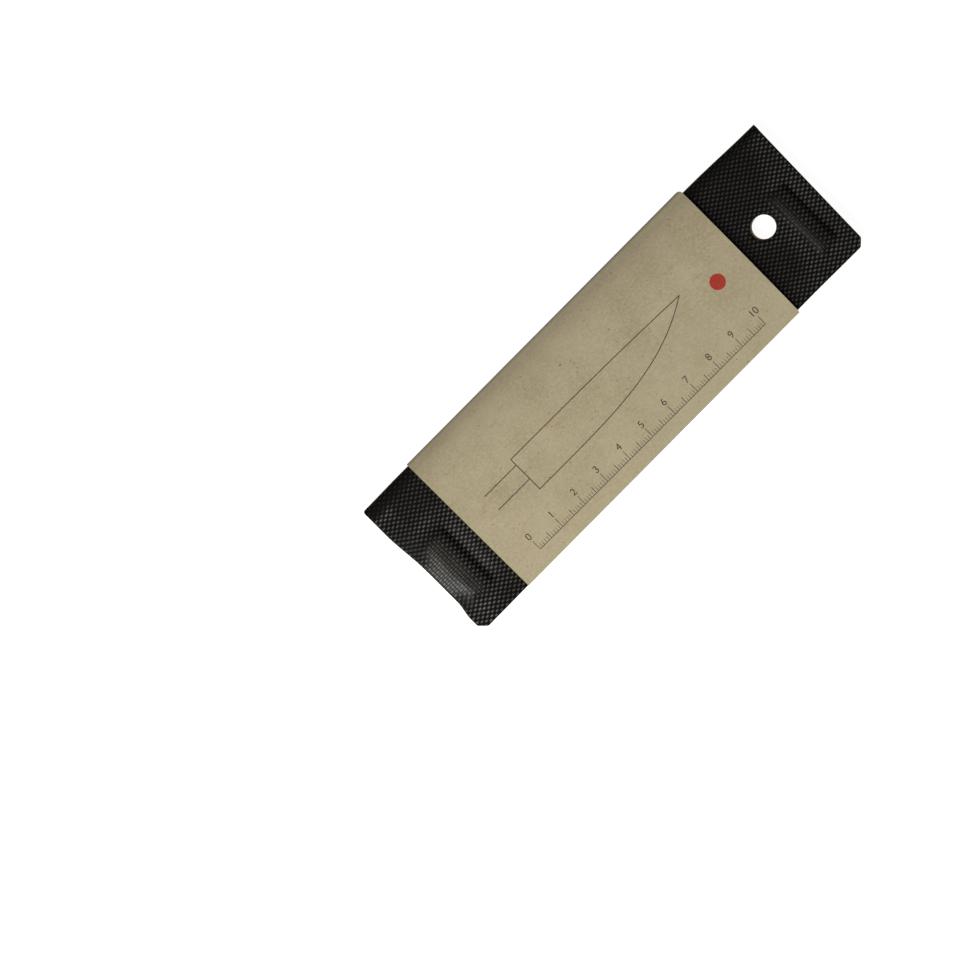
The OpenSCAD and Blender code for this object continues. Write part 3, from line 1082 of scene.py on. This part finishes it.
def magnet_material():
    """Dull nickel plate with fine rubbing marks."""
    material, nodes, links, shader = new_material("nickel_plate")
    where = nodes.new("ShaderNodeTexCoord")
    marks = nodes.new("ShaderNodeTexNoise")
    marks.inputs["Scale"].default_value = 600
    marks.inputs["Detail"].default_value = 5
    links.new(where.outputs["Object"], marks.inputs["Vector"])
    ramp = nodes.new("ShaderNodeValToRGB")
    ramp.color_ramp.elements[0].color = (0.5, 0.49, 0.46, 1)
    ramp.color_ramp.elements[1].color = (0.68, 0.67, 0.64, 1)
    links.new(marks.outputs["Fac"], ramp.inputs["Fac"])
    links.new(ramp.outputs["Color"], shader.inputs["Base Color"])
    rough = math_node(nodes, links, "MULTIPLY_ADD", marks.outputs["Fac"], 0.25, 0.22)
    links.new(rough, shader.inputs["Roughness"])
    shader.inputs["Metallic"].default_value = 1.0
    return material


def ink_material(name, colour, worn):
    """Matt ink that the card's grain breaks up a little."""
    material, nodes, links, shader = new_material(name)
    where = nodes.new("ShaderNodeTexCoord")
    grain = nodes.new("ShaderNodeTexNoise")
    grain.inputs["Scale"].default_value = 2200
    grain.inputs["Detail"].default_value = 3
    links.new(where.outputs["Object"], grain.inputs["Vector"])
    ramp = nodes.new("ShaderNodeValToRGB")
    ramp.color_ramp.elements[0].position = 0.45
    ramp.color_ramp.elements[0].color = colour
    ramp.color_ramp.elements[1].position = 0.8
    ramp.color_ramp.elements[1].color = worn
    links.new(grain.outputs["Fac"], ramp.inputs["Fac"])
    links.new(ramp.outputs["Color"], shader.inputs["Base Color"])
    shader.inputs["Roughness"].default_value = 0.8
    return material


def paint_nodes(names, material):
    """Gives CAD nodes that stay their finish."""
    for name in names:
        for obj in bpy.data.objects:
            if obj.name == name:
                for slot in obj.material_slots:
                    slot.material = material


# Studio

def floor():
    """Ground that looks evenly white to the camera, apart from a trace of shadow."""
    deselect_all()
    bpy.ops.mesh.primitive_plane_add(size=6, location=(0, 0, -0.0002))
    ground = bpy.context.active_object
    ground.name = "floor"
    material, nodes, links, shader = new_material("pale_floor")
    shader.inputs["Base Color"].default_value = (0.35, 0.35, 0.35, 1)
    shader.inputs["Roughness"].default_value = 0.9
    shader.inputs["Emission Color"].default_value = (1, 1, 1, 1)
    path = nodes.new("ShaderNodeLightPath")
    seen = math_node(nodes, links, "MAXIMUM", path.outputs["Is Camera Ray"], path.outputs["Is Glossy Ray"])
    seen = math_node(nodes, links, "MAXIMUM", seen, path.outputs["Is Transmission Ray"])
    glow = math_node(nodes, links, "MULTIPLY", seen, 0.96)
    links.new(glow, shader.inputs["Emission Strength"])
    ground.data.materials.append(material)


def lamp(name, place, size, watts):
    """A rectangular lamp that looks at the part."""
    light = bpy.data.lights.new(name, "AREA")
    light.shape = "RECTANGLE"
    light.size, light.size_y = size
    light.energy = watts
    obj = bpy.data.objects.new(name, light)
    bpy.context.scene.collection.objects.link(obj)
    obj.location = place
    obj.rotation_euler = (-Vector(place)).to_track_quat("-Z", "Y").to_euler()


def studio():
    """Two lamps on the handle's side and a weak white world."""
    lamp("key", (-0.58, -0.12, 1.12), (0.3, 0.3), 12)
    lamp("side", (-1.2, -0.45, 0.6), (0.4, 0.4), 12)
    world = bpy.data.worlds.new("studio")
    bpy.context.scene.world = world
    world.use_nodes = True
    background = world.node_tree.nodes["Background"]
    background.inputs["Color"].default_value = (1, 1, 1, 1)
    background.inputs["Strength"].default_value = 0.06


def camera():
    """Straight above, rolled so that the guard lies aslant as in the photo."""
    lens_room = 2.5
    data = bpy.data.cameras.new("camera")
    data.sensor_width = 36
    picture_width = PICTURE_PX * PIXEL_MM * MM
    data.lens = 36 * lens_room / picture_width
    data.clip_end = 20
    obj = bpy.data.objects.new("camera", data)
    bpy.context.scene.collection.objects.link(obj)
    half = math.sqrt(0.5)
    right, up, back = Vector((half, -half, 0)), Vector((half, half, 0)), Vector((0, 0, 1))
    turn = Matrix((right, up, back)).transposed().to_4x4()
    x, y, z = (c * MM for c in PICTURE_MIDDLE)
    obj.matrix_world = Matrix.Translation((x, y, z + lens_room)) @ turn
    bpy.context.scene.camera = obj


camera()
studio()
floor()

weave = weave_group()
woven = woven_material(weave)
card = card_material()
felt = felt_material()
board = board_material()
nickel = magnet_material()
brown_ink = ink_material("brown_ink", (0.035, 0.026, 0.018, 1), (0.11, 0.085, 0.055, 1))
red_ink = ink_material("red_ink", (0.36, 0.018, 0.007, 1), (0.40, 0.045, 0.02, 1))

outer_skin("front_skin", True, woven)
outer_skin("back_skin", False, woven)
fold_half("fold_skin_front", True, 0, 0, woven, "fold_outer_skin")
fold_half("fold_skin_back", False, 0, 0, woven, "fold_outer_skin")
fold_half("fold_felt_front", True, SKIN_T, FELT_INSET, felt, "fold_lining")
fold_half("fold_felt_back", False, SKIN_T, FELT_INSET, felt, "fold_lining")
card_panel("card_front", True, card)
card_panel("card_back", False, card)
card_turn_half("card_turn_front", True, card)
card_turn_half("card_turn_back", False, card)
centimetre_rule(brown_ink)
blade_outline(brown_ink)
round_mark(red_ink)

paint_nodes(["front_felt_lining", "back_felt_lining"], felt)
paint_nodes(["front_core_board", "back_core_board"], board)
paint_nodes(["front_handle_magnet", "front_tip_magnet", "back_handle_magnet", "back_tip_magnet"], nickel)

bpy.context.scene.view_settings.view_transform = "Standard"
